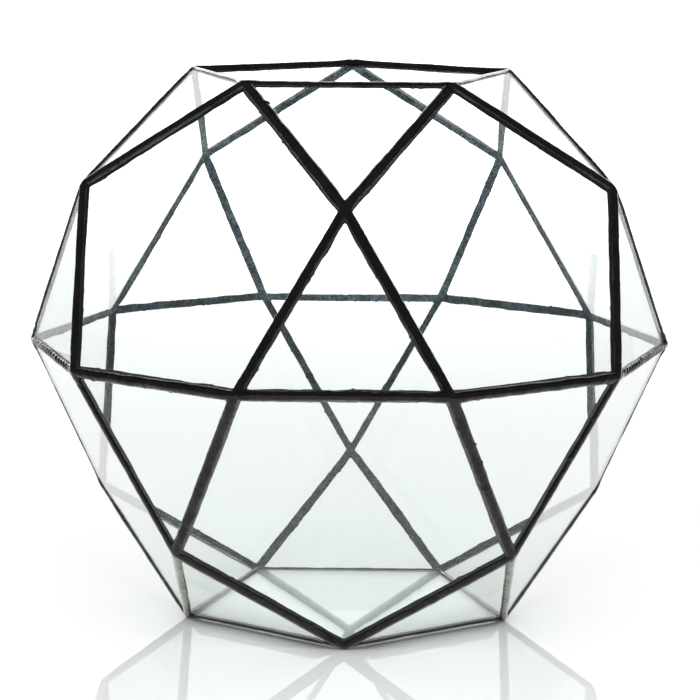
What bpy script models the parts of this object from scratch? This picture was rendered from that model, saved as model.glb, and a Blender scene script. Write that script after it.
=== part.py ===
"""Open-topped geometric terrarium of leaded glass, in metres, +Z up, front at -Y.

The body is an icosidodecahedron: twelve pentagons and twenty triangles, all with the same edge. It stands on
one pentagon, and the pentagon opposite is left open as the mouth. Every other face is a pane of sheet glass.
The edges of the panes are wrapped in copper foil, and solder joins the foils inside and outside. That metal is
modelled as twelve rings, one round each pentagon, so that every edge of the body lies in exactly one ring and
neighbouring rings meet at the corners.
"""

from math import atan, atan2, cos, radians, sin, sqrt

import bmesh
import bpy
from mathutils import Vector

# Driving dimensions
EDGE = 0.080  # every edge of the body, from corner to corner
GLASS = 0.002  # thickness of the sheet glass
PANE_INSET = 0.0013  # from an edge line of the body to the cut edge of the pane, so that square-cut panes clear
SEAM_REACH = 0.0025  # how far the metal reaches over each pane, from the same edge line
SEAT_GAP = 0.0003  # between glass and metal, and between neighbouring rings
BEAD = 0.0004  # thickness of the solder over the glass, from the bead's shoulders to its borders
BEAD_CROWN = 0.00015  # how far the crest of a bead stands above its shoulders
OUTER_SHOULDER = 0.0009  # from the edge line to a shoulder of the outer bead
INNER_SHOULDER = 0.0016  # the same for the inner bead, which fills the hollow side of the fold

# The body's own proportions, for an edge of 1
GOLDEN = (1 + sqrt(5)) / 2
PENTAGON_RADIUS = 1 / (2 * sin(radians(36)))
PENTAGON_HEIGHT = GOLDEN * PENTAGON_RADIUS  # from the centre to a pentagon
PENTAGON_TILT = atan(1 / 2)  # elevation of the normals of the ten leaning pentagons
STEEP_TILT = atan(GOLDEN**2 / 2)  # of the triangles next to the mouth and the base
SHALLOW_TILT = atan(1 / (2 * GOLDEN**2))  # of the triangles next to the equator
FOLD = atan(2 / GOLDEN**2)  # the turn from a pentagon to the triangle beside it
HALF_FOLD = FOLD / 2

FRONT = -90  # azimuths, in degrees
BACK = 90
CENTRE = Vector((0, 0, PENTAGON_HEIGHT * EDGE + SEAT_GAP + BEAD))
SAME_PLANE = 1e-5  # corners this close along a normal lie in one face
CONE_LENGTH = 2 * EDGE  # long enough to pass right through the body's wall


def level(count, radius, height, first):
    """Corners of one level of the body about its centre, evenly spaced from the azimuth called first."""
    turns = [radians(first + 360 / count * k) for k in range(count)]
    return [EDGE * Vector((radius * cos(t), radius * sin(t), height)) for t in turns]


CORNERS = (
    level(5, PENTAGON_RADIUS, PENTAGON_HEIGHT, BACK)
    + level(5, PENTAGON_HEIGHT, PENTAGON_RADIUS, FRONT)
    + level(10, GOLDEN, 0, FRONT + 18)
    + level(5, PENTAGON_HEIGHT, -PENTAGON_RADIUS, BACK)
    + level(5, PENTAGON_RADIUS, -PENTAGON_HEIGHT, FRONT)
)


def face_corners(normal):
    """The corners that lie furthest along this normal, anticlockwise seen from outside."""
    reach = max(corner.dot(normal) for corner in CORNERS)
    found = [corner for corner in CORNERS if corner.dot(normal) > reach - SAME_PLANE]
    right = (found[0] - reach * normal).normalized()
    up = normal.cross(right)
    return sorted(found, key=lambda corner: atan2(corner.dot(up), corner.dot(right)))


def make_material(name, colour, roughness, metallic, alpha):
    made = bpy.data.materials.new(name)
    made.use_nodes = True
    shader = made.node_tree.nodes["Principled BSDF"]
    shader.inputs["Base Color"].default_value = (*colour, 1.0)
    shader.inputs["Roughness"].default_value = roughness
    shader.inputs["Metallic"].default_value = metallic
    shader.inputs["Alpha"].default_value = alpha
    made.diffuse_color = (*colour, alpha)
    return made


def make_object(name, points, faces, surface):
    """A mesh object about the body's centre, with its faces turned outwards."""
    mesh = bpy.data.meshes.new(name)
    mesh.from_pydata([tuple(point) for point in points], [], faces)
    shape = bmesh.new()
    shape.from_mesh(mesh)
    bmesh.ops.recalc_face_normals(shape, faces=shape.faces)
    shape.to_mesh(mesh)
    shape.free()
    mesh.materials.append(surface)
    made = bpy.data.objects.new(name, mesh)
    made.location = CENTRE
    bpy.context.scene.collection.objects.link(made)
    return made


def add_pane(name, normal, surface):
    """A face of the body drawn in by PANE_INSET on every side, with the thickness of the glass inwards."""
    corners = face_corners(normal)
    count = len(corners)
    middle = sum(corners, Vector()) / count
    to_side = ((corners[0] + corners[1]) / 2 - middle).length
    outer = [corner.lerp(middle, PANE_INSET / to_side) for corner in corners]
    inner = [corner - GLASS * normal for corner in outer]
    sides = [(k, (k + 1) % count, count + (k + 1) % count, count + k) for k in range(count)]
    faces = [tuple(range(count)), tuple(range(count, 2 * count))] + sides
    make_object(name, outer + inner, faces, surface)


def from_pane(along, height):
    """Turns a place given on a pane (inwards from the edge line, out from the face) into one on the seam's
    section (sideways from the plane that halves the fold, outwards along it)."""
    return (
        along * cos(HALF_FOLD) + height * sin(HALF_FOLD),
        height * cos(HALF_FOLD) - along * sin(HALF_FOLD),
    )


def seam_section():
    """Between two panes: a low bead outside, a low bead inside, and the solder between the cut edges."""
    inside = -GLASS - SEAT_GAP
    web = PANE_INSET - SEAT_GAP
    half = [
        from_pane(OUTER_SHOULDER, SEAT_GAP + BEAD),
        from_pane(SEAM_REACH, SEAT_GAP + BEAD),
        from_pane(SEAM_REACH, SEAT_GAP),
        from_pane(web, SEAT_GAP),
        from_pane(web, inside),
        from_pane(SEAM_REACH, inside),
        from_pane(SEAM_REACH, inside - BEAD),
        from_pane(INNER_SHOULDER, inside - BEAD),
    ]
    outer_crest = (0, half[0][1] + BEAD_CROWN)
    inner_crest = (0, half[-1][1] - BEAD_CROWN)
    other_half = [(-sideways, outwards) for sideways, outwards in reversed(half)]
    return [outer_crest] + half + [inner_crest] + other_half


def rim_section():
    """Round the bare top edge of a pane, which lies on the side of the fold away from the mouth."""
    inside = -GLASS - SEAT_GAP
    web = PANE_INSET - SEAT_GAP
    section = [
        from_pane(0, SEAT_GAP),
        from_pane(BEAD, SEAT_GAP + BEAD),
        from_pane(SEAM_REACH, SEAT_GAP + BEAD),
        from_pane(SEAM_REACH, SEAT_GAP),
        from_pane(web, SEAT_GAP),
        from_pane(web, inside),
        from_pane(SEAM_REACH, inside),
        from_pane(SEAM_REACH, inside - BEAD),
        from_pane(BEAD, inside - BEAD),
        from_pane(0, inside),
    ]
    return [(-sideways, outwards) for sideways, outwards in section]


def ring_frames(normal):
    """For each corner of a pentagon: the corner, the run of the edge that starts there and the way to the
    pentagon's middle from that edge."""
    corners = face_corners(normal)
    for corner, following in zip(corners, corners[1:] + corners[:1]):
        run = (following - corner).normalized()
        yield corner, run, normal.cross(run)


def swept_ring(name, normal, section, surface):
    """The section carried round a pentagon and mitred at each corner, on the plane through the pentagon's axis."""
    points = []
    for corner, run, inwards in ring_frames(normal):
        outwards = cos(HALF_FOLD) * normal - sin(HALF_FOLD) * inwards
        sideways = outwards.cross(run)
        mitre = normal.cross(corner)
        for across, out in section:
            offset = across * sideways + out * outwards
            points.append(corner + offset - run * (offset.dot(mitre) / run.dot(mitre)))
    size = len(section)
    faces = []
    for start in range(0, 5 * size, size):
        following = (start + size) % (5 * size)
        for k in range(size):
            after = (k + 1) % size
            faces.append((start + k, start + after, following + after, following + k))
    return make_object(name, points, faces, surface)


def pentagon_cone(name, normal, surface):
    """From the body's centre out through the middles of the five triangles round a pentagon. The twelve cones
    fill all space between them, and each is set back by half the gap between neighbouring rings."""
    corner = face_corners(normal)[0].normalized()
    to_wall = sqrt(1 - normal.dot(corner) ** 2)
    tip = SEAT_GAP / 2 / to_wall * normal
    points = [tip]
    for _, _, inwards in ring_frames(normal):
        points.append(tip + CONE_LENGTH * (cos(FOLD) * normal - sin(FOLD) * inwards))
    faces = [(0, k + 1, (k + 1) % 5 + 1) for k in range(5)] + [(1, 2, 3, 4, 5)]
    return make_object(name, points, faces, surface)


def add_ring(name, normal, section, surface):
    """A ring of seam metal, cut back where the rings round the neighbouring pentagons begin."""
    ring = swept_ring(name, normal, section, surface)
    cone = pentagon_cone(name + "_cone", normal, surface)
    cone.hide_render = True
    cone.display_type = "WIRE"
    cut = ring.modifiers.new("meets_neighbours", "BOOLEAN")
    cut.operation = "INTERSECT"
    cut.object = cone


def around(first, tilt):
    """Five face normals at this elevation, numbered from 1 anticlockwise seen from above."""
    for k in range(5):
        turn = radians(first + 72 * k)
        yield k + 1, Vector((cos(turn) * cos(tilt), sin(turn) * cos(tilt), sin(tilt)))


def build():
    for old in list(bpy.data.objects):
        bpy.data.objects.remove(old, do_unlink=True)

    glass = make_material("clear_float_glass", (0.90, 0.95, 0.93), 0.02, 0.0, 0.3)
    solder = make_material("black_patina_solder", (0.035, 0.033, 0.036), 0.35, 0.9, 1.0)
    up = Vector((0, 0, 1))

    pane_rows = [
        ("shoulder_pane", FRONT, STEEP_TILT),
        ("upper_pentagon_pane", BACK, PENTAGON_TILT),
        ("upper_triangle_pane", FRONT, SHALLOW_TILT),
        ("lower_triangle_pane", BACK, -SHALLOW_TILT),
        ("lower_pentagon_pane", FRONT, -PENTAGON_TILT),
        ("foot_pane", BACK, -STEEP_TILT),
    ]
    for name, first, tilt in pane_rows:
        for number, normal in around(first, tilt):
            add_pane(f"{name}_{number}", normal, glass)
    add_pane("base_pane", -up, glass)

    add_ring("mouth_rim", up, rim_section(), solder)
    for name, first, tilt in (("upper_seam", BACK, PENTAGON_TILT), ("lower_seam", FRONT, -PENTAGON_TILT)):
        for number, normal in around(first, tilt):
            add_ring(f"{name}_{number}", normal, seam_section(), solder)
    add_ring("base_seam", -up, seam_section(), solder)


build()
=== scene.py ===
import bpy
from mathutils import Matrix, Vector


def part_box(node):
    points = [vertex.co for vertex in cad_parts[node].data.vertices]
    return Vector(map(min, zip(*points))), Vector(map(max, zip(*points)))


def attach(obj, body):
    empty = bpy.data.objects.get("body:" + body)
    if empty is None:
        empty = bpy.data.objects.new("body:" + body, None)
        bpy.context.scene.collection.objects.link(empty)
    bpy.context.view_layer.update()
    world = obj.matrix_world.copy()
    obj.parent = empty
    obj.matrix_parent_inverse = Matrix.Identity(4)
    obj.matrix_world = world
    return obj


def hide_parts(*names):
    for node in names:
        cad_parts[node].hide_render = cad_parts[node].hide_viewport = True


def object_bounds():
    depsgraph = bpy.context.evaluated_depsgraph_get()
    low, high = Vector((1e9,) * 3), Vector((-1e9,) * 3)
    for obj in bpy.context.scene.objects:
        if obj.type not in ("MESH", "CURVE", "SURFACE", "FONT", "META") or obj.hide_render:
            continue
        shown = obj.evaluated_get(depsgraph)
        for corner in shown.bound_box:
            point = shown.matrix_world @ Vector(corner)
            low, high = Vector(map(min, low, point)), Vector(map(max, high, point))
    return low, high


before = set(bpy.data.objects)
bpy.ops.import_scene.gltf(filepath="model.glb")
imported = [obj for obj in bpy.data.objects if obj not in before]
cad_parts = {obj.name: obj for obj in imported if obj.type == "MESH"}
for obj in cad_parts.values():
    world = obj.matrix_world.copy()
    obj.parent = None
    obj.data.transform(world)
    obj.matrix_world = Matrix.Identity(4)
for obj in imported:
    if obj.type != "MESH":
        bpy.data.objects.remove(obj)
cad_box = [list(corner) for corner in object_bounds()]

# An open-topped geometric terrarium of clear glass and black soldered seams, in metres, front at -Y.
# It is put together in the maker's order: the cut panes, the foiled and soldered seams, the mouth, and then
# the studio around it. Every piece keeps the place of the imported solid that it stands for.

from math import atan, cos, pi, radians, sin, sqrt, tan
from types import SimpleNamespace

import bpy
import numpy as np
from mathutils import Matrix, Vector

# ---------------------------------------------------------------------------------------------------------
# The panes. Thirty-one pieces of 2 mm clear float glass, scored, snapped and ground to pentagons and
# triangles. The solids already have their true cut shape, so they stay and are given their glass.

GLASS = 0.002
GLASS_TINT = "#FAFDFC"  # seen straight through one sheet: a breath of green from the iron in the sand
DUST_TINT = "#A9AFAB"
FACE_LOSS = "#F9FBFA"  # each face of a sheet turns back a twenty-fifth of the light that goes through it
POLISH = (0.0, 0.012)  # roughness, from bare float glass to a wiped smear


def linear(hex_colour):
    """A colour written in sRGB hex, as linear red, green and blue with full alpha."""
    coded = np.array([int(hex_colour[k : k + 2], 16) for k in (1, 3, 5)]) / 255
    light = np.where(coded <= 0.04045, coded / 12.92, ((coded + 0.055) / 1.055) ** 2.4)
    return (*(float(part) for part in light), 1.0)


def put(tree, kind, inputs=None, **settings):
    """Adds a node of this kind. An input given as another node's socket is linked, any other is a value."""
    node = tree.nodes.new(kind)
    for name, value in settings.items():
        setattr(node, name, value)
    for name, value in (inputs or {}).items():
        if isinstance(value, bpy.types.NodeSocket):
            tree.links.new(value, node.inputs[name])
        else:
            node.inputs[name].default_value = value
    return node


def new_material(name):
    """An empty material with its tree, the place on the piece in metres and the output to link to."""
    made = bpy.data.materials.new(name)
    made.use_nodes = True
    tree = made.node_tree
    tree.nodes.clear()
    place = put(tree, "ShaderNodeTexCoord").outputs["Object"]
    return made, tree, place, put(tree, "ShaderNodeOutputMaterial")


def per_metre(size):
    """The texture scale at which one feature is this many metres across."""
    return 1 / size


def clear_float_glass():
    """Clear float glass, drawn flat on molten tin and wiped with a cloth: a hard mirror gloss with faint
    smears 30 mm long, and a few specks of dust 0.3 mm across caught on it. Light on its way to the table or
    the seams goes straight through, less what the faces turn back."""
    made, tree, place, output = new_material("clear_float_glass")
    wiped = put(tree, "ShaderNodeMapping", {"Vector": place, "Scale": (1, 1, 0.35)})
    smear_size = {"Vector": wiped.outputs[0], "Scale": per_metre(0.03), "Detail": 3}
    smear = put(tree, "ShaderNodeTexNoise", smear_size).outputs["Fac"]
    polish_range = {"Value": smear, "From Min": 0.5, "From Max": 0.8}
    polish_range |= {"To Min": POLISH[0], "To Max": POLISH[1]}
    polish = put(tree, "ShaderNodeMapRange", polish_range)
    speck = put(tree, "ShaderNodeTexVoronoi", {"Vector": place, "Scale": per_metre(0.0075)})
    dust = put(
        tree,
        "ShaderNodeMapRange",
        {"Value": speck.outputs["Distance"], "From Min": 0.018, "From Max": 0.028, "To Min": 1, "To Max": 0},
    )
    colour = put(
        tree,
        "ShaderNodeMix",
        {"Factor": dust.outputs[0], 6: linear(GLASS_TINT), 7: linear(DUST_TINT)},
        data_type="RGBA",
    )
    glass = put(
        tree,
        "ShaderNodeBsdfPrincipled",
        {
            "Base Color": colour.outputs[2],
            "Roughness": polish.outputs[0],
            "IOR": 1.52,
            "Transmission Weight": 1.0,
        },
    )
    passed_on = put(tree, "ShaderNodeBsdfTransparent", {"Color": linear(FACE_LOSS)})
    ray = put(tree, "ShaderNodeLightPath").outputs
    lighting_rays = {0: ray["Is Shadow Ray"], 1: ray["Is Diffuse Ray"]}
    lighting = put(tree, "ShaderNodeMath", lighting_rays, operation="MAXIMUM")
    shaders = {0: lighting.outputs[0], 1: glass.outputs[0], 2: passed_on.outputs[0]}
    seen = put(tree, "ShaderNodeMixShader", shaders)
    tree.links.new(seen.outputs[0], output.inputs["Surface"])
    return made


float_glass = clear_float_glass()
pane_nodes = [name for name in sorted(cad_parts) if "_pane" in name]
for name in pane_nodes:
    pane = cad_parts[name]
    pane.data.materials.clear()
    pane.data.materials.append(float_glass)

# ---------------------------------------------------------------------------------------------------------
# The seams. Copper foil is folded over the edge of every pane, the panes are tacked together, and solder is
# run along each fold inside and out until it stands as a low bead. The beads flow into one another in a knot
# at every corner, and a black patina is rubbed on. One ring of seam runs round each pentagon of the body.

EDGE = 0.080  # from corner to corner of the body
GOLDEN = (1 + sqrt(5)) / 2
PENTAGON_RADIUS = EDGE / (2 * sin(pi / 5))
PENTAGON_REACH = GOLDEN * PENTAGON_RADIUS  # from the body's centre to a pentagon
TRIANGLE_REACH = GOLDEN**2 / sqrt(3) * EDGE
PENTAGON_TILT = atan(1 / 2)  # elevation of the normals of the ten leaning pentagons
STEEP_TILT = atan(GOLDEN**2 / 2)  # of the triangles next to the mouth and the base
SHALLOW_TILT = atan(1 / (2 * GOLDEN**2))  # of the triangles next to the equator
FOLD = atan(2 / GOLDEN**2)  # the turn from a pentagon to the triangle beside it
PENTAGON_HALF = radians(54)  # half the angle in a corner of a pane
TRIANGLE_HALF = radians(30)
FRONT, BACK = radians(-90), radians(90)
CENTRE = np.array([0, 0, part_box("base_pane")[0].z + PENTAGON_REACH])

SEAM_REACH = 0.00195  # from the fold to the border of the solder, inside and out
REACH_SLOPE = -0.0022  # the foil was laid a little wider towards the front
SIDE_REACH = 0.0012  # on the four seams that run up and down from the left and right corners
SIDE_SEAM = (0.11, 0.01)  # their middles are further from the body's than this, sideways and up or down
RIM_REACH = 0.0018  # the same on the mouth's rim at its front and back
SIDE_RIM_REACH = 0.0014
MIDWAY = 0.03  # edges of the mouth and the base this close to the middle, front to back, are at the sides
BASE_REACH = 0.0011  # and inside the base, where the iron hardly gets in
FOOT_REACH = 0.0062  # up the two front foot panes, on a wider foil
CUT_EDGE = 0.00115  # where the solder between the panes ends, just short of the glass
FOIL = 0.00005  # thickness of the foil and its glue
ROUND_BEAD = SimpleNamespace(height=0.00165, rounding=11.0, power=2, root=0.65)  # nearly a half circle
FLAT_BEAD = SimpleNamespace(height=0.00040, rounding=40.0, power=4, root=0.5)  # wiped down to the panes
THIN_BEAD = SimpleNamespace(height=0.00022, rounding=60.0, power=8, root=0.5)  # a mere coat, under the base
OUTER_STRIPS = 7  # on each side of the fold
INNER_STRIPS = 5
RIM_STRIPS = 6  # on the outside of the mouth's rim
CORNER = 0.005  # size of the bell on which a seam's bead changes into the corner's
KNOT = 0.0006  # extra height of the solder at a corner of the body
KNOT_SIZE = 0.0034
LUMP = 0.0006  # a drop of solder left standing on the right-hand corner, just above its middle
LUMP_SIZE = 0.0044
LUMP_PLACE = np.array((GOLDEN * EDGE, 0, 0.0028))  # from the body's centre
FILLET = 0.0005  # radius of the solder's border in the corner of a pane
LIP_BULGE = 0.55  # height of the lip over half its thickness
WAVER, WAVER_SIZE = 0.00012, 0.012  # of the borders
FINE_WAVER, FINE_WAVER_SIZE = 0.00004, 0.0025
OWN_REACH = 0.0002  # the most that one seam's whole border is off
CRUMB = (0.0001, 0.0005)  # how far a crumb of solder sticks out over a border
CRUMB_SIZE = 0.0006
CRUMB_CHANCE = 0.3
NICK = 0.00007  # half of the most that a border jumps at a nick
NICK_SIZE = 0.0004
SWELL, SWELL_SIZE = 0.00007, 0.018  # of the skin
DENT, DENT_SIZE = 0.00003, 0.0025
RIPPLE_PITCH = (0.0038, 0.0050)
RIPPLE_BEND = 0.0020  # how far a ripple's ends are dragged along the borders, at most
RIPPLE_DEPTH = 0.32  # as a share of the bead's height
RIPPLE_BAND = 0.006  # half height of the band round the body's middle that has ripples
RIPPLE_START, RIPPLE_RAMP = 0.095, 0.015  # how far out they begin, and how soon they are at full depth
STEP = 0.0005  # along a seam
# The base seam's strips just up from the table are kept dull and dark: painted shade where the seam meets the
# table.
FOOT_PAINTED_SHADE = slice(OUTER_STRIPS, OUTER_STRIPS + 3)  # strips of the base seam just up from the table
FOOT_RUBBED = slice(OUTER_STRIPS + 3, 2 * OUTER_STRIPS)  # and from there up the foot pane to the border
SHARP = radians(50)  # folds in the metal that are sharper than this stay crisp


def ways(first, tilt):
    """Five unit vectors at this elevation, evenly spaced in azimuth from first."""
    turn = first + 2 * pi / 5 * np.arange(5)
    return np.stack([np.cos(turn) * cos(tilt), np.sin(turn) * cos(tilt), np.full(5, sin(tilt))], 1)


pentagons = np.vstack([[[0, 0, 1], [0, 0, -1]], ways(BACK, PENTAGON_TILT), ways(FRONT, -PENTAGON_TILT)])
triangles = np.vstack(
    [ways(FRONT, STEEP_TILT), ways(FRONT, SHALLOW_TILT), ways(BACK, -SHALLOW_TILT), ways(BACK, -STEEP_TILT)]
)
normals = np.vstack([pentagons, triangles])
reaches = np.array([PENTAGON_REACH] * len(pentagons) + [TRIANGLE_REACH] * len(triangles))
along = np.linspace(0, EDGE, round(EDGE / STEP) + 1)  # every place along a seam


def pentagon_corners(normal):
    """The five corners of a pentagon about the body's centre, anticlockwise from outside. They lie in its
    plane at the pentagon's radius, the first of them straight above or below its axis."""
    upright = np.array([0.0, 1.0, 0.0]) if abs(normal[2]) > 0.99 else np.array([0.0, 0.0, 1.0])
    up = upright - (upright @ normal) * normal
    up /= np.linalg.norm(up)
    right = np.cross(up, normal)
    pointing = 1 if normal[2] > 0 else -1  # upper pentagons point up and lower ones down
    turn = 2 * pi / 5 * np.arange(5)
    spokes = pointing * (np.cos(turn)[:, None] * up - np.sin(turn)[:, None] * right)
    return PENTAGON_REACH * normal + PENTAGON_RADIUS * spokes


def ring_edges(normal):
    """The five edges round a pentagon, each with its corner, its run, the points of the fold along it, the
    ways over the two panes beside it, the outer sides of both, and whether it is one of the four edges that
    run up and down from the left and right corners."""
    corner = pentagon_corners(normal)
    run = (np.roll(corner, -1, 0) - corner) / EDGE
    inwards = np.cross(normal, run)
    middle = np.abs(corner + run * EDGE / 2)
    out, up = SIDE_SEAM
    return SimpleNamespace(
        corner=corner,
        run=run,
        fold=corner[:, None] + run[:, None] * along[:, None],
        at_side=((middle[:, 0] > out) & (middle[:, 2] > up))[:, None],
        over_pentagon=inwards,
        over_triangle=-cos(FOLD) * inwards - sin(FOLD) * normal,
        pentagon=np.broadcast_to(normal, (5, 3)),
        triangle=cos(FOLD) * normal - sin(FOLD) * inwards,
    )


def wall(places, depth, rounding=None):
    """How far the body's wall is from its centre, on the way to each place. A plane's closeness on that way
    is the way's share along the plane's normal over the plane's reach, and the wall is one over the greatest
    of them. With rounding it is one over their soft maximum, the log of the sum of exponentials, so that
    folds and corners are rounded. depth sets the wall in."""
    way = places / np.linalg.norm(places, axis=-1, keepdims=True)
    closeness = way @ (normals / (reaches - depth)[:, None]).T
    nearest = closeness.max(-1)
    if rounding is None:
        return 1 / nearest
    excess = np.exp(rounding * (closeness - nearest[..., None])).sum(-1)
    return 1 / (nearest + np.log(excess) / rounding)


def unevenness(places, size, seed):
    """Smooth random heights, mostly between -1 and 1: the sum of twenty plane waves that run in random
    directions and are each about size long."""
    draw = np.random.default_rng(seed)
    run = draw.normal(size=(3, 20))
    run *= 2 * pi / (size * draw.uniform(0.7, 1.6, 20)) / np.linalg.norm(run, axis=0)
    return np.sin(places @ run + draw.uniform(0, 2 * pi, 20)).sum(-1) / sqrt(20)


def near_end(size):
    """1 at both ends of a seam, falling off over size as a bell curve does."""
    return np.exp(-((np.minimum(along, EDGE - along) / size) ** 2))


def hand_laid(draw):
    """How far the border of one seam strays from its reach, for five seams: a width of its own, crumbs of
    solder as narrow bells, and nicks where the iron was set down again, as small steps of a tanh curve."""
    own = draw.uniform(-OWN_REACH, OWN_REACH, (5, 1))
    where = draw.uniform(0.1 * EDGE, 0.9 * EDGE, (5, 1, 6))
    height = draw.uniform(*CRUMB, (5, 1, 6)) * (draw.uniform(size=(5, 1, 6)) < CRUMB_CHANCE)
    crumbs = height * np.exp(-(((along[:, None] - where) / CRUMB_SIZE) ** 2))
    nicks = draw.uniform(-NICK, NICK, (5, 1, 6)) * np.tanh((along[:, None] - where) / NICK_SIZE)
    return (own + (crumbs + nicks).sum(-1)) * (1 - near_end(0.004))


def border(edges, across, half_angle, reach, seed, draw):
    """Where the solder ends on one pane, for every place along the fold. It keeps reach from the fold, wavers
    a little, and turns in the pane's corner on an arc of FILLET, so it starts short of the corner by the
    distance from the fold over the tangent of half the corner's angle."""
    waver = WAVER * unevenness(edges.fold, WAVER_SIZE, seed)
    waver = waver + FINE_WAVER * unevenness(edges.fold, FINE_WAVER_SIZE, seed + 1)
    width = reach + REACH_SLOPE * edges.fold[..., 1] + waver + hand_laid(draw)
    arc = FILLET * (1 - sin(half_angle))
    start = (width[:, :1] + arc) / tan(half_angle)
    end = (width[:, -1:] + arc) / tan(half_angle)
    place = start + along * (EDGE - start - end) / EDGE
    turn = FILLET * cos(half_angle)
    inside_arc = np.clip(np.maximum(start + turn - place, place - (EDGE - end - turn)), 0, turn)
    from_fold = width + FILLET - np.sqrt(FILLET**2 - inside_arc**2)
    on_fold = edges.corner[:, None] + edges.run[:, None] * place[..., None]
    return on_fold + across[:, None] * from_fold[..., None]


def foil_on_cut_edge(edges, across, half_angle, face):
    """The foil round the cut edge of one pane: its place outside the glass and its place inside it."""
    start = CUT_EDGE / tan(half_angle)
    place = start + along * (EDGE - 2 * start) / EDGE
    edge = edges.corner[:, None] + edges.run[:, None] * place[:, None] + across[:, None] * CUT_EDGE
    depth = np.array([FOIL, -GLASS - FOIL])
    return edge[:, :, None] + face[:, None, None] * depth[:, None]


def freezing_ripples(edges, spread, height, draw):
    """The crescents that solder freezes in as the iron is drawn along: cosine waves bent back towards the
    borders, with their own pitch and bend on each seam. They come and go in patches. Their depth is a share
    of the bead's height. A narrow bell keeps them to the body's middle height, and a ramp to its two sides,
    where the seams were run last and in small steps."""
    pitch = draw.uniform(*RIPPLE_PITCH, (5, 1, 1))
    bend = draw.uniform(-RIPPLE_BEND, RIPPLE_BEND, (5, 1, 1))
    patches = np.clip(1.15 + 0.5 * unevenness(edges.fold, 0.022, 17), 0.9, 1.5)
    at_sides = np.clip((np.abs(edges.fold[..., 0]) - RIPPLE_START) / RIPPLE_RAMP, 0, 1)
    in_band = np.exp(-((edges.fold[..., 2] / RIPPLE_BAND) ** 2))
    depth = RIPPLE_DEPTH * height * patches * at_sides * in_band
    quickness = draw.uniform(80, 160, (5, 1, 1))
    drift = 0.9 * np.sin(along[:, None] * quickness + draw.uniform(0, 2 * pi, (5, 1, 1)))
    wave = np.cos(2 * pi * (along[:, None] + bend * spread**2) / pitch + drift)
    return depth[..., None] * (wave - 1) / 2 * (1 - spread**4) * (1 - near_end(CORNER)[:, None])


def over_glass(places, spread, outside, shape):
    """How far the skin of a bead of this shape is from the body's centre. Its height over the glass is that
    of the softly rounded wall, raised by the bead's height, times a root of one less a power of the
    spread."""
    depth, away = (0, 1) if outside else (GLASS, -1)
    glass = wall(places, depth - away * FOIL)
    raised = wall(places, depth - away * shape.height, shape.rounding)
    return glass + (raised - glass) * (1 - np.abs(spread) ** shape.power) ** shape.root


def bead(edges, reach, strips, outside, shape, seed, draw):
    """The skin of the solder over a fold, outside or inside, with its reach over the pentagon and over the
    triangle and so many strips on each. Across the fold it is spread as a sine from border to border. The two
    seams that run down from the side corners are wiped flat. On a bell at each corner it takes the shape of
    the beads that meet there, with a knot of extra solder, and along the seam it has slow swells, small dents
    and ripples."""
    sides = ((edges.over_pentagon, PENTAGON_HALF), (edges.over_triangle, TRIANGLE_HALF))
    borders = [border(edges, *side, reach[k], seed + 10 * k, draw) for k, side in enumerate(sides)]
    spread = np.sin(np.linspace(-pi / 2, pi / 2, 2 * strips + 1))
    share = np.abs(spread)[:, None]
    fold = edges.fold[:, :, None]
    to_side = [fold + (edge[:, :, None] - fold) * share for edge in borders]
    places = np.where(spread[:, None] < 0, *to_side)
    at_corner = near_end(CORNER)[:, None]
    corner_shape = ROUND_BEAD if outside and shape is not THIN_BEAD else FLAT_BEAD
    skin = over_glass(places, spread, outside, shape)
    flat_skin = over_glass(places, spread, outside, FLAT_BEAD)
    wiped_down = edges.at_side & (edges.fold[..., 2].mean(1, keepdims=True) < 0)
    distance = np.where(wiped_down[..., None], flat_skin, skin) * (1 - at_corner)
    distance = distance + over_glass(places, spread, outside, corner_shape) * at_corner
    ends = [edges.corner[:, None, None], np.roll(edges.corner, -1, 0)[:, None, None]]
    to_corner = np.minimum(*(np.linalg.norm(places - end, axis=-1) for end in ends))
    swell = KNOT * np.exp(-((to_corner / KNOT_SIZE) ** 2)) * (1 if outside else 0.3)
    if outside:
        to_lump = np.linalg.norm(places - LUMP_PLACE, axis=-1)
        swell = swell + LUMP * np.exp(-((to_lump / LUMP_SIZE) ** 2))
    swell = swell + SWELL * unevenness(places, SWELL_SIZE, 11) + DENT * unevenness(places, DENT_SIZE, 13)
    swell = (swell + freezing_ripples(edges, spread, shape.height, draw)) * np.sqrt(1 - spread**4)
    distance = distance + (swell if outside else -swell)
    return places / np.linalg.norm(places, axis=-1, keepdims=True) * distance[..., None]


def seam_loops(edges, shape, outer_reach, inner_reach, seed):
    """Loops of points across a ring of seam. Going round, a loop crosses the outer bead from the pentagon to
    the triangle, dips to the cut edge of the triangle's pane, comes back to the inner bead, crosses that,
    and dips to the pentagon's pane. Returned with the loop's first and last place on the triangle's side and
    with the strips that lie inside the body."""
    draw = np.random.default_rng(seed)
    outer = bead(edges, outer_reach, OUTER_STRIPS, True, shape, seed, draw)
    inner = bead(edges, inner_reach, INNER_STRIPS, False, FLAT_BEAD, seed + 100, draw)
    at_triangle = foil_on_cut_edge(edges, edges.over_triangle, TRIANGLE_HALF, edges.triangle)
    at_pentagon = foil_on_cut_edge(edges, edges.over_pentagon, PENTAGON_HALF, edges.pentagon)
    loops = np.concatenate([outer, at_triangle, inner[:, :, ::-1], at_pentagon[:, :, ::-1]], 2)
    inner_start = outer.shape[2] + 2
    inside = slice(inner_start, inner_start + inner.shape[2] - 1)
    return loops, outer.shape[2] // 2, inner_start + inner.shape[2] // 2, inside


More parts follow.
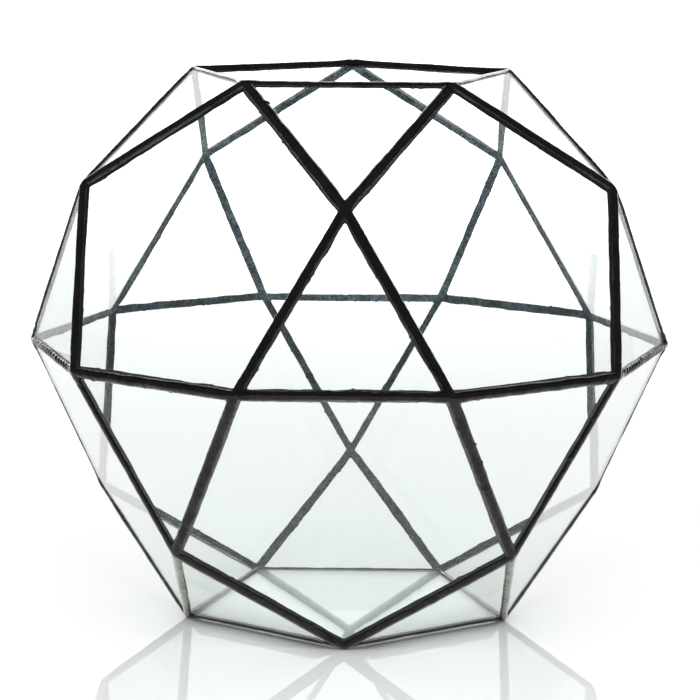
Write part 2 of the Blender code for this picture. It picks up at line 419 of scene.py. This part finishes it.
def rim_loops(edges, seed):
    """Loops of points across the mouth's rim, which wraps the bare top edges of the shoulder panes. There is
    no pentagon here. The triangle's half of both beads is joined by a lip instead, half an ellipse that runs
    from the outer skin to the inner one and bulges up the pane, turning to the mouth's middle at a corner."""
    draw = np.random.default_rng(seed)
    at_side = np.abs(edges.fold[..., 1].mean(1, keepdims=True)) < MIDWAY
    reach = (RIM_REACH, np.where(at_side, SIDE_RIM_REACH, RIM_REACH))
    outer = bead(edges, reach, RIM_STRIPS, True, FLAT_BEAD, seed, draw)
    inner = bead(edges, reach, INNER_STRIPS, False, FLAT_BEAD, seed + 100, draw)
    at_triangle = foil_on_cut_edge(edges, edges.over_triangle, TRIANGLE_HALF, edges.triangle)
    outer = outer[:, :, outer.shape[2] // 2 :]
    inner = inner[:, :, inner.shape[2] // 2 :][:, :, ::-1]
    top, under = outer[:, :, 0], inner[:, :, -1]
    middle, half = (top + under) / 2, (top - under) / 2
    up_side = -edges.corner + (edges.corner @ edges.pentagon[0])[:, None] * edges.pentagon
    up_side /= np.linalg.norm(up_side, axis=1, keepdims=True)
    from_start = np.exp(-((along / 0.004) ** 2))[:, None]
    from_end = from_start[::-1]
    lip_way = -edges.over_triangle[:, None] * (1 - from_start - from_end)
    lip_way = lip_way + up_side[:, None] * from_start + np.roll(up_side, -1, 0)[:, None] * from_end
    lip_way /= np.linalg.norm(lip_way, axis=-1, keepdims=True)
    turn = np.linspace(0, pi, 9)[1:-1, None]
    bulge = LIP_BULGE * np.linalg.norm(half, axis=-1)[..., None, None]
    lip = middle[:, :, None] - half[:, :, None] * np.cos(turn) + lip_way[:, :, None] * bulge * np.sin(turn)
    loops = np.concatenate([outer, at_triangle, inner, lip], 2)
    inner_start = outer.shape[2] + 2
    inside = slice(inner_start, inner_start + inner.shape[2] + 3)
    return loops, 0, inner_start + inner.shape[2] - 1, inside


def ring_of_seam(name, normal, seed, surface):
    """A closed ring through the loops of its five seams. The loops of two seams that meet share their points
    on the pentagon's side, and on the triangle's side each is closed with a flat face, where the next ring of
    seam begins. Every strip is marked for the material with how dull it was left, as inside the body, and
    with whether it was rubbed bare, as on the foot. The base seam's strips next to the table are also marked
    half dull, which darkens them: painted shade where the seam meets the table."""
    edges = ring_edges(normal)
    if name.startswith("mouth"):
        loops, first_open, last_open, inside = rim_loops(edges, seed)
    elif name.startswith("base"):
        at_front = edges.fold[..., 1].mean(1, keepdims=True) < -MIDWAY
        outer_reach = (SEAM_REACH, np.where(at_front, FOOT_REACH, BASE_REACH))
        inner_reach = (BASE_REACH, BASE_REACH)
        loops, first_open, last_open, inside = seam_loops(edges, THIN_BEAD, outer_reach, inner_reach, seed)
    else:
        reach = (SEAM_REACH, SEAM_REACH)
        outer_reach = (np.where(edges.at_side, SIDE_REACH, SEAM_REACH),) * 2
        loops, first_open, last_open, inside = seam_loops(edges, ROUND_BEAD, outer_reach, reach, seed)
    loops[..., 2] = np.maximum(loops[..., 2], cad_box[0][2] - CENTRE[2])  # rubbed flat where it stands
    seams, steps, size, _ = loops.shape
    index = np.arange(seams * steps * size).reshape(seams, steps, size)
    shared = np.r_[0 : first_open + 1, last_open:size]
    index[:, -1, shared] = np.roll(index[:, 0, shared], -1, 0)
    following = np.roll(index, -1, 2)
    quads = np.stack([index[:, :-1], following[:, :-1], following[:, 1:], index[:, 1:]], -1).reshape(-1, 4)
    open_side = slice(first_open, last_open + 1)
    ends = np.concatenate([index[:, 0, open_side][:, ::-1], index[:, -1, open_side]])
    used, corners = np.unique(np.concatenate([quads.ravel(), ends.ravel()]), return_inverse=True)
    faces = corners[: quads.size].reshape(-1, 4).tolist()
    faces += corners[quads.size :].reshape(ends.shape).tolist()
    mesh = bpy.data.meshes.new(name)
    mesh.from_pydata((CENTRE + loops).reshape(-1, 3)[used], [], faces)
    mesh.shade_smooth()
    mesh.set_sharp_from_angle(angle=SHARP)
    dullness_and_painted_shade, rubbed = np.zeros(size), np.zeros(size)
    dullness_and_painted_shade[inside] = {"mouth": 0.5, "base_": 0}.get(name[:5], 1)
    if name.startswith("base"):
        # Painted shade: marked half dull, these strips lose their silver aslant and stay dark where the seam
        # meets the table.
        dullness_and_painted_shade[FOOT_PAINTED_SHADE] = 0.5
        rubbed[FOOT_RUBBED] = 1
    for mark, strips in (("inside", dullness_and_painted_shade), ("rubbed", rubbed)):
        values = np.concatenate([np.tile(strips, seams * (steps - 1)), np.zeros(len(ends))])
        mesh.attributes.new(mark, "FLOAT", "FACE").data.foreach_set("value", values)
    mesh.materials.append(surface)
    made = bpy.data.objects.new(name, mesh)
    bpy.context.scene.collection.objects.link(made)
    return made


WAXED = (0.05, 0.10)  # roughness of the patina from place to place
WAXED_TONES = ("#2D2B2D", "#393739")  # of the outside, face on
SLATE_TONES = ("#47525B", "#7C8D98")  # of the inside
BARE_SOLDER = "#ECEAE3"


def black_patina_solder():
    """Tin-lead solder blackened with patina, then waxed: a soft gloss, nearly black face on, that turns to
    silver where it is seen aslant. The patina is cloudy over 6 mm and rubbed thin in small patches. Inside
    the body nobody could reach it well, so it is dull there, and slate grey with paler mottles a few mm
    long."""
    made, tree, place, output = new_material("black_patina_solder")
    inside = put(tree, "ShaderNodeAttribute", attribute_name="inside").outputs["Fac"]
    rubbed = put(tree, "ShaderNodeAttribute", attribute_name="rubbed").outputs["Fac"]
    cloud = put(tree, "ShaderNodeTexNoise", {"Vector": place, "Scale": per_metre(0.006), "Detail": 4})
    fleck = put(tree, "ShaderNodeTexNoise", {"Vector": place, "Scale": per_metre(0.0012), "Detail": 3})
    depth = put(tree, "ShaderNodeMath", {0: cloud.outputs[0], 1: fleck.outputs[0]}, operation="MULTIPLY")
    tone = put(tree, "ShaderNodeMapRange", {"Value": depth.outputs[0], "From Min": 0.16, "From Max": 0.38})
    waxed_tones = {"Factor": tone.outputs[0], 6: linear(WAXED_TONES[0]), 7: linear(WAXED_TONES[1])}
    waxed = put(tree, "ShaderNodeMix", waxed_tones, data_type="RGBA")
    patchy = put(tree, "ShaderNodeMapRange", {"Value": depth.outputs[0], "From Min": 0.20, "From Max": 0.40})
    slate_tones = {"Factor": patchy.outputs[0], 6: linear(SLATE_TONES[0]), 7: linear(SLATE_TONES[1])}
    slate = put(tree, "ShaderNodeMix", slate_tones, data_type="RGBA")
    slaty = put(tree, "ShaderNodeMapRange", {"Value": inside, "From Min": 0.6})
    face_tones = {"Factor": slaty.outputs[0], 6: waxed.outputs[2], 7: slate.outputs[2]}
    face_on = put(tree, "ShaderNodeMix", face_tones, data_type="RGBA")
    # The inside mark is set half way on the base seam's strips next to the table. The silver it takes away
    # there is painted shade where the seam meets the table.
    buffing_and_painted_shade = put(tree, "ShaderNodeMapRange", {"Value": inside, "From Max": 0.5, "To Min": 1, "To Max": 0.12})
    gloss_range = {"Value": fleck.outputs[0], "From Min": 0.3, "From Max": 0.7}
    gloss_range |= {"To Min": WAXED[0], "To Max": WAXED[1]}
    gloss = put(tree, "ShaderNodeMapRange", gloss_range)
    scuffed = put(tree, "ShaderNodeMath", {0: rubbed, 1: 0.35, 2: gloss.outputs[0]}, operation="MULTIPLY_ADD")
    dull = put(tree, "ShaderNodeMath", {0: inside, 1: 0.2, 2: scuffed.outputs[0]}, operation="MULTIPLY_ADD")
    grain = put(tree, "ShaderNodeTexNoise", {"Vector": place, "Scale": per_metre(0.0007), "Detail": 2})
    relief = put(tree, "ShaderNodeBump", {"Height": grain.outputs[0], "Strength": 0.3, "Distance": 0.00005})
    facing = put(tree, "ShaderNodeLayerWeight", {"Blend": 0.5, "Normal": relief.outputs[0]})
    aslant = put(tree, "ShaderNodeMath", {0: facing.outputs["Facing"], 1: 3.0}, operation="POWER")
    worn_range = {"Value": depth.outputs[0], "From Min": 0.16, "From Max": 0.28, "To Min": 0.4, "To Max": 1}
    worn = put(tree, "ShaderNodeMapRange", worn_range)
    polish = put(tree, "ShaderNodeMath", {0: worn.outputs[0], 1: buffing_and_painted_shade.outputs[0]}, operation="MULTIPLY")
    shining = put(tree, "ShaderNodeMath", {0: aslant.outputs[0], 1: polish.outputs[0]}, operation="MULTIPLY")
    bare = put(tree, "ShaderNodeMapRange", {"Value": rubbed, "To Max": 0.75})
    silver = put(tree, "ShaderNodeMath", {0: shining.outputs[0], 1: bare.outputs[0]}, operation="MAXIMUM")
    shades = {"Factor": silver.outputs[0], 6: face_on.outputs[2], 7: linear(BARE_SOLDER)}
    colour = put(tree, "ShaderNodeMix", shades, data_type="RGBA")
    metal = put(
        tree,
        "ShaderNodeBsdfPrincipled",
        {
            "Base Color": colour.outputs[2],
            "Metallic": 1.0,
            "Roughness": dull.outputs[0],
            "Normal": relief.outputs[0],
        },
    )
    tree.links.new(metal.outputs[0], output.inputs["Surface"])
    return made


patina = black_patina_solder()
FIRST_SEED = 40
rings = [("base_seam", pentagons[1])]
rings += [(f"lower_seam_{k + 1}", pentagons[7 + k]) for k in range(5)]
rings += [(f"upper_seam_{k + 1}", pentagons[2 + k]) for k in range(5)]
rings += [("mouth_rim", pentagons[0])]
for number, (node, normal) in enumerate(rings):
    seam = ring_of_seam(f"{node}_solder", normal, FIRST_SEED + number, patina)
    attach(seam, "root")
    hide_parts(node)

# ---------------------------------------------------------------------------------------------------------
# The table. A sheet of cast white acrylic, polished, on which the terrarium stands and is mirrored. It lies
# flat and ends well behind the terrarium.


def white_acrylic():
    """Cast white acrylic sheet, polished: an even white with a clear gloss."""
    made, tree, place, output = new_material("white_acrylic")
    haze = put(tree, "ShaderNodeTexNoise", {"Vector": place, "Scale": per_metre(0.04), "Detail": 2})
    gloss = put(tree, "ShaderNodeMapRange", {"Value": haze.outputs["Fac"], "To Min": 0.015, "To Max": 0.03})
    sheet = put(
        tree,
        "ShaderNodeBsdfPrincipled",
        {"Base Color": linear("#E6E7E5"), "Roughness": gloss.outputs[0], "IOR": 1.49},
    )
    tree.links.new(sheet.outputs[0], output.inputs["Surface"])
    return made


TABLE = 2.6  # length and width
TABLE_BACK = 1.1  # its far edge
floor_mesh = bpy.data.meshes.new("floor")
sides, ends, top = (-TABLE / 2, TABLE / 2), (TABLE_BACK - TABLE, TABLE_BACK), cad_box[0][2]
corners = [(sides[x], ends[y], top) for x, y in ((0, 0), (1, 0), (1, 1), (0, 1))]
floor_mesh.from_pydata(corners, [], [(0, 1, 2, 3)])
floor_mesh.materials.append(white_acrylic())
floor = bpy.data.objects.new("floor", floor_mesh)
bpy.context.scene.collection.objects.link(floor)

# ---------------------------------------------------------------------------------------------------------
# The light. A bright white backdrop stands behind, two soft lights, a big one overhead and a smaller one in
# front, light the table, and the room on the camera's side is left dim, which keeps the seams dark.

BACKDROP = 1.3  # brightness of the backdrop, as it is mirrored
HORIZON = 2.6  # of its foot, which is lit from the floor
WHITE = 2.2  # of the backdrop seen straight on
ROOM = 0.34  # of the room in front
SIDES = 0.10  # of the dark walls beside the backdrop
SKIRTING = 0.85  # of those walls below the horizon
BACKDROP_EDGE = (0.37, 0.47)  # sines of the angles to the side between which it fades into the walls
GLOW_FADES = (0.12, 0.20)  # and of the angles upwards between which its foot's glow fades


def studio_world():
    """The room all round: a white backdrop behind that is brighter towards its foot, dark walls beside it
    that are light below the horizon, and dim daylight in front. It is plain white where it is seen straight
    on, by rays that haven't bounced but only passed through glass."""
    world = bpy.data.worlds.new("studio")
    world.use_nodes = True
    tree = world.node_tree
    tree.nodes.clear()
    way = put(tree, "ShaderNodeTexCoord").outputs["Generated"]
    parts = put(tree, "ShaderNodeSeparateXYZ", {0: way})
    depth, height = parts.outputs["Y"], parts.outputs["Z"]
    aside = put(tree, "ShaderNodeMath", {0: parts.outputs["X"]}, operation="ABSOLUTE")
    width_range = {"Value": aside.outputs[0], "From Min": BACKDROP_EDGE[0], "From Max": BACKDROP_EDGE[1]}
    width_range |= {"To Min": 1, "To Max": 0}
    width = put(tree, "ShaderNodeMapRange", width_range, interpolation_type="SMOOTHSTEP")
    ahead = put(tree, "ShaderNodeMath", {0: depth, 1: 0.5}, operation="GREATER_THAN")
    behind = put(tree, "ShaderNodeMath", {0: width.outputs[0], 1: ahead.outputs[0]}, operation="MULTIPLY")
    walls_range = {"Value": depth, "From Min": -0.2, "From Max": 0.3, "To Min": ROOM, "To Max": SIDES}
    walls = put(tree, "ShaderNodeMapRange", walls_range, interpolation_type="SMOOTHSTEP")
    low_range = {"Value": height, "From Min": -0.02, "From Max": 0.02, "To Min": 1, "To Max": 0}
    low = put(tree, "ShaderNodeMapRange", low_range, interpolation_type="SMOOTHSTEP")
    skirting = put(tree, "ShaderNodeMath", {0: low.outputs[0], 1: ahead.outputs[0]}, operation="MULTIPLY")
    round_about = put(tree, "ShaderNodeMix", {0: skirting.outputs[0], 2: walls.outputs[0], 3: SKIRTING})
    glow_range = {"Value": height, "From Min": GLOW_FADES[0], "From Max": GLOW_FADES[1]}
    glow_range |= {"To Min": HORIZON, "To Max": BACKDROP}
    glow = put(tree, "ShaderNodeMapRange", glow_range, interpolation_type="SMOOTHSTEP")
    strengths = {0: behind.outputs[0], 2: round_about.outputs[0], 3: glow.outputs[0]}
    strength = put(tree, "ShaderNodeMix", strengths)
    tints = {"Factor": behind.outputs[0], 6: linear("#F1F4F3"), 7: linear("#FFFFFF")}
    tint = put(tree, "ShaderNodeMix", tints, data_type="RGBA")
    room = put(tree, "ShaderNodeBackground", {"Color": tint.outputs[2], "Strength": strength.outputs[0]})
    white = put(tree, "ShaderNodeBackground", {"Color": linear("#FFFFFF"), "Strength": WHITE})
    ray = put(tree, "ShaderNodeLightPath").outputs
    bounces = {0: ray["Ray Depth"], 1: ray["Transmission Depth"]}
    bounced = put(tree, "ShaderNodeMath", bounces, operation="SUBTRACT")
    unbounced = put(tree, "ShaderNodeMath", {0: bounced.outputs[0], 1: 1.5}, operation="LESS_THAN")
    kinds = {0: ray["Is Camera Ray"], 1: ray["Is Transmission Ray"]}
    onward = put(tree, "ShaderNodeMath", kinds, operation="MAXIMUM")
    both = {0: unbounced.outputs[0], 1: onward.outputs[0]}
    straight = put(tree, "ShaderNodeMath", both, operation="MULTIPLY")
    seen = put(tree, "ShaderNodeMixShader", {0: straight.outputs[0], 1: room.outputs[0], 2: white.outputs[0]})
    output = put(tree, "ShaderNodeOutputWorld")
    tree.links.new(seen.outputs[0], output.inputs["Surface"])
    return world


bpy.context.scene.world = studio_world()


def soft_light(name, place, size, power):
    """A square soft light that faces the terrarium and is never seen itself, mirrored or through glass."""
    lamp = bpy.data.lights.new(name, "AREA")
    lamp.size = size
    lamp.energy = power
    made = bpy.data.objects.new(name, lamp)
    facing = np.array(place) - CENTRE
    yaw = np.arctan2(facing[1], facing[0]) + pi / 2
    lean = np.arctan2(np.hypot(facing[0], facing[1]), facing[2])
    made.location = place
    made.rotation_euler = (lean, 0, yaw)
    made.visible_camera = False
    made.visible_transmission = False
    made.visible_glossy = False
    bpy.context.scene.collection.objects.link(made)


soft_light("overhead_softbox", place=(0, 0.5, 2.2), size=9.0, power=182)
soft_light("front_softbox", place=(0, -1.3, 1.0), size=1.2, power=18)

# ---------------------------------------------------------------------------------------------------------
# The camera. A long lens, in front of the terrarium and a little above its mouth, which looks slightly down
# on it so that the back of the rim shows.

DISTANCE = 1.183
ELEVATION = radians(9.47)
YAW = radians(0.79)
ROLL = radians(0.44)
AIM = (0.0007, 0, -0.0033)  # from the body's centre
LENS = 149.1  # mm

camera = bpy.data.objects.new("camera", bpy.data.cameras.new("camera"))
camera.data.lens = LENS
camera.data.sensor_width = 36
camera.data.clip_start = 0.01
stand = CENTRE + DISTANCE * np.array([sin(YAW) * cos(ELEVATION), -cos(YAW) * cos(ELEVATION), sin(ELEVATION)])
look = Vector(stand - (CENTRE + np.array(AIM))).to_track_quat("Z", "Y").to_matrix().to_4x4()
camera.matrix_world = Matrix.Translation(stand) @ look @ Matrix.Rotation(ROLL, 4, "Z")
bpy.context.scene.collection.objects.link(camera)
bpy.context.scene.camera = camera
bpy.context.scene.view_settings.view_transform = "Standard"
